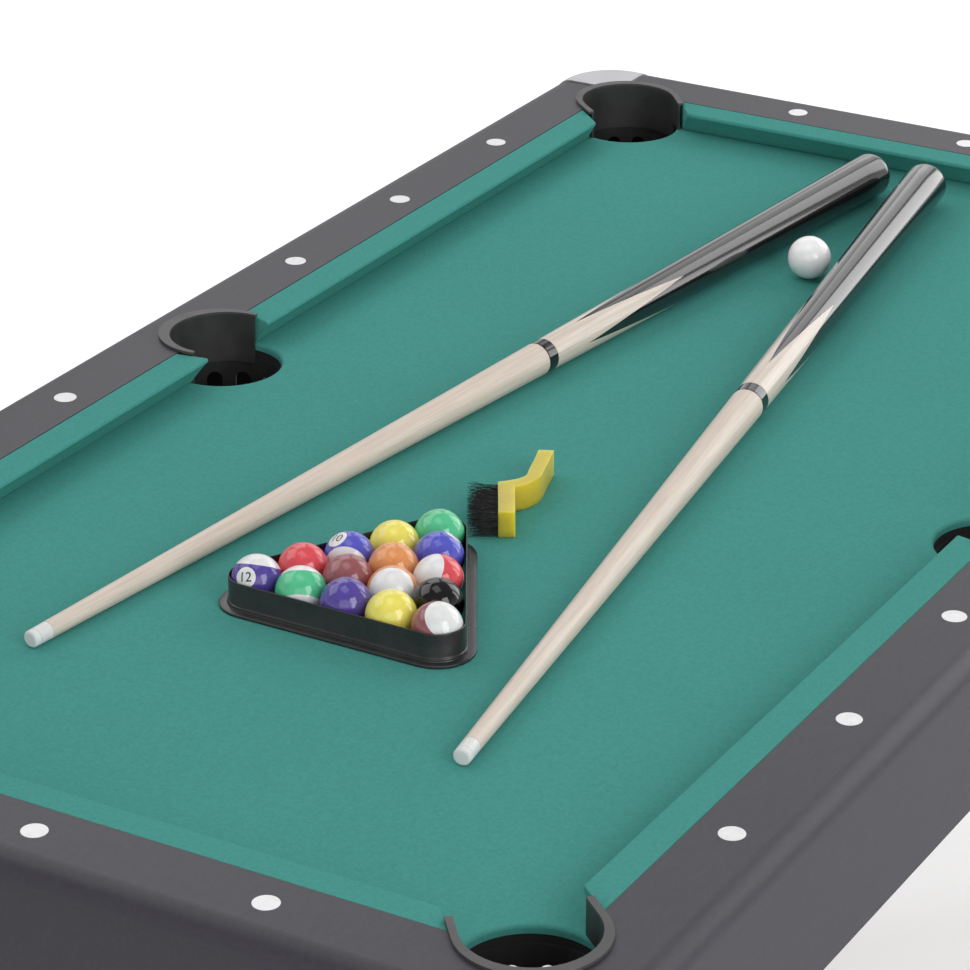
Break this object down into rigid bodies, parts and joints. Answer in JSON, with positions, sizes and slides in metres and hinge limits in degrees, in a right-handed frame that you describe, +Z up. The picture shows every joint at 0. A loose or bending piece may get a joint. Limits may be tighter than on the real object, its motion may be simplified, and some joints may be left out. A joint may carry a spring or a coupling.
{
  "type": "pool table",
  "caption": "Free-standing six-pocket pool table with cloth bed, cushions, sights and drop baskets, set out with racked numbered balls, cue ball, two cues and a table brush.",
  "frame": {"origin": "on the floor under the middle of the table", "axes": "+X along the table's length towards the end where the cues' butts lie, +Y across the width towards the left long rail seen from the near end, +Z up"},
  "size_m": [1.953, 1.068, 0.8103],
  "materials": {
    "board": "plain fibreboard",
    "cloth": "short napped woollen cloth",
    "cushion": "rubber cushion wrapped in the same cloth",
    "liner": "satin moulded plastic, grey flange",
    "basket": "satin moulded plastic",
    "casting": "satin silver",
    "sight": "gloss",
    "laminate": "satin dark grey laminate on board",
    "batten": "planed softwood",
    "bracket": "black powder coat",
    "fastener": "zinc plated",
    "foot": "satin moulded plastic on a steel stem",
    "rack": "semi gloss moulded plastic",
    "cue_ball": "polished resin",
    "ferrule": "satin plastic",
    "maple": "pale maple, satin lacquer",
    "cue_ring": "gloss",
    "cue_butt": "gloss black lacquer with four maple points",
    "brush_plastic": "translucent moulded plastic",
    "bristle": "soft bristle tufts",
    "ball_01": "polished resin, solid colour with a white number spot",
    "ball_02": "polished resin, solid colour with a white number spot",
    "ball_03": "polished resin, solid colour with a white number spot",
    "ball_04": "polished resin, solid colour with a white number spot",
    "ball_05": "polished resin, solid colour with a white number spot",
    "ball_06": "polished resin, solid colour with a white number spot",
    "ball_07": "polished resin, solid colour with a white number spot",
    "ball_08": "polished resin, solid colour with a white number spot",
    "ball_09": "polished resin, white with a wide coloured band and a white number spot",
    "ball_10": "polished resin, white with a wide coloured band and a white number spot",
    "ball_11": "polished resin, white with a wide coloured band and a white number spot",
    "ball_12": "polished resin, white with a wide coloured band and a white number spot",
    "ball_13": "polished resin, white with a wide coloured band and a white number spot",
    "ball_14": "polished resin, white with a wide coloured band and a white number spot",
    "ball_15": "polished resin, white with a wide coloured band and a white number spot"
  },
  "bodies": {
    "table": {"bed_board": "board", "bed_cloth": "cloth", "rail_side_left": "laminate", "rail_side_right": "laminate", "rail_end_far": "laminate", "rail_end_near": "laminate", "cushion_left_far": "cushion", "cushion_left_near": "cushion", "cushion_right_far": "cushion", "cushion_right_near": "cushion", "cushion_end_far": "cushion", "cushion_end_near": "cushion", "corner_liners": "liner", "side_liners": "liner", "corner_baskets": "basket", "side_baskets": "basket", "corner_caps": "casting", "rail_sights": "sight", "panel_side_left": "laminate", "panel_side_right": "laminate", "panel_end_far": "laminate", "panel_end_near": "laminate", "bed_frame": "batten", "legs": "laminate", "leg_brackets": "bracket", "leg_screws": "fastener", "rail_bolts": "fastener"},
    "leveller_far_left": {"leveller_far_left": "foot"},
    "leveller_near_left": {"leveller_near_left": "foot"},
    "leveller_far_right": {"leveller_far_right": "foot"},
    "leveller_near_right": {"leveller_near_right": "foot"},
    "rack": {"rack": "rack"},
    "cue_ball": {"cue_ball": "cue_ball"},
    "ball_01": {"ball_01": "ball_01"},
    "ball_02": {"ball_02": "ball_02"},
    "ball_03": {"ball_03": "ball_03"},
    "ball_04": {"ball_04": "ball_04"},
    "ball_05": {"ball_05": "ball_05"},
    "ball_06": {"ball_06": "ball_06"},
    "ball_07": {"ball_07": "ball_07"},
    "ball_08": {"ball_08": "ball_08"},
    "ball_09": {"ball_09": "ball_09"},
    "ball_10": {"ball_10": "ball_10"},
    "ball_11": {"ball_11": "ball_11"},
    "ball_12": {"ball_12": "ball_12"},
    "ball_13": {"ball_13": "ball_13"},
    "ball_14": {"ball_14": "ball_14"},
    "ball_15": {"ball_15": "ball_15"},
    "cue_1_butt": {"cue_1_butt": "cue_butt", "cue_1_joint_collar": "cue_ring"},
    "cue_1_shaft": {"cue_1_shaft": "maple", "cue_1_ferrule": "ferrule", "cue_1_tip": "ferrule"},
    "cue_2_butt": {"cue_2_butt": "cue_butt", "cue_2_joint_collar": "cue_ring"},
    "cue_2_shaft": {"cue_2_shaft": "maple", "cue_2_ferrule": "ferrule", "cue_2_tip": "ferrule"},
    "brush": {"brush_handle": "brush_plastic", "brush_bristles": "bristle"}
  },
  "joints": [
    {"name": "leveller_far_left_adjust", "type": "slide", "parent": "table", "child": "leveller_far_left", "axis": [0, 0, -1], "range_m": [0, 0.02]},
    {"name": "leveller_near_left_adjust", "type": "slide", "parent": "table", "child": "leveller_near_left", "axis": [0, 0, -1], "range_m": [0, 0.02]},
    {"name": "leveller_far_right_adjust", "type": "slide", "parent": "table", "child": "leveller_far_right", "axis": [0, 0, -1], "range_m": [0, 0.02]},
    {"name": "leveller_near_right_adjust", "type": "slide", "parent": "table", "child": "leveller_near_right", "axis": [0, 0, -1], "range_m": [0, 0.02]},
    {"name": "rack_lift", "type": "slide", "parent": "table", "child": "rack", "axis": [0, 0, 1], "range_m": [0, 0.15]},
    {"name": "cue_ball_lift", "type": "slide", "parent": "table", "child": "cue_ball", "axis": [0, 0, 1], "range_m": [0, 0.15]},
    {"name": "brush_lift", "type": "slide", "parent": "table", "child": "brush", "axis": [0, 0, 1], "range_m": [0, 0.15]},
    {"name": "ball_01_lift", "type": "slide", "parent": "table", "child": "ball_01", "axis": [0, 0, 1], "range_m": [0, 0.15]},
    {"name": "ball_02_lift", "type": "slide", "parent": "table", "child": "ball_02", "axis": [0, 0, 1], "range_m": [0, 0.15]},
    {"name": "ball_03_lift", "type": "slide", "parent": "table", "child": "ball_03", "axis": [0, 0, 1], "range_m": [0, 0.15]},
    {"name": "ball_04_lift", "type": "slide", "parent": "table", "child": "ball_04", "axis": [0, 0, 1], "range_m": [0, 0.15]},
    {"name": "ball_05_lift", "type": "slide", "parent": "table", "child": "ball_05", "axis": [0, 0, 1], "range_m": [0, 0.15]},
    {"name": "ball_06_lift", "type": "slide", "parent": "table", "child": "ball_06", "axis": [0, 0, 1], "range_m": [0, 0.15]},
    {"name": "ball_07_lift", "type": "slide", "parent": "table", "child": "ball_07", "axis": [0, 0, 1], "range_m": [0, 0.15]},
    {"name": "ball_08_lift", "type": "slide", "parent": "table", "child": "ball_08", "axis": [0, 0, 1], "range_m": [0, 0.15]},
    {"name": "ball_09_lift", "type": "slide", "parent": "table", "child": "ball_09", "axis": [0, 0, 1], "range_m": [0, 0.15]},
    {"name": "ball_10_lift", "type": "slide", "parent": "table", "child": "ball_10", "axis": [0, 0, 1], "range_m": [0, 0.15]},
    {"name": "ball_11_lift", "type": "slide", "parent": "table", "child": "ball_11", "axis": [0, 0, 1], "range_m": [0, 0.15]},
    {"name": "ball_12_lift", "type": "slide", "parent": "table", "child": "ball_12", "axis": [0, 0, 1], "range_m": [0, 0.15]},
    {"name": "ball_13_lift", "type": "slide", "parent": "table", "child": "ball_13", "axis": [0, 0, 1], "range_m": [0, 0.15]},
    {"name": "ball_14_lift", "type": "slide", "parent": "table", "child": "ball_14", "axis": [0, 0, 1], "range_m": [0, 0.15]},
    {"name": "ball_15_lift", "type": "slide", "parent": "table", "child": "ball_15", "axis": [0, 0, 1], "range_m": [0, 0.15]},
    {"name": "cue_1_lift", "type": "slide", "parent": "table", "child": "cue_1_butt", "axis": [0, 0, 1], "range_m": [0, 0.15]},
    {"name": "cue_1_unscrew", "type": "hinge", "parent": "cue_1_butt", "child": "cue_1_shaft", "pos_m": [0.13352, 0.13653, 0.77697], "axis": [0.993, -0.1176, 0.0121], "continuous": true},
    {"name": "cue_2_lift", "type": "slide", "parent": "table", "child": "cue_2_butt", "axis": [0, 0, 1], "range_m": [0, 0.15]},
    {"name": "cue_2_unscrew", "type": "hinge", "parent": "cue_2_butt", "child": "cue_2_shaft", "pos_m": [0.13706, -0.10411, 0.77697], "axis": [0.9895, 0.144, 0.0121], "continuous": true}
  ]
}
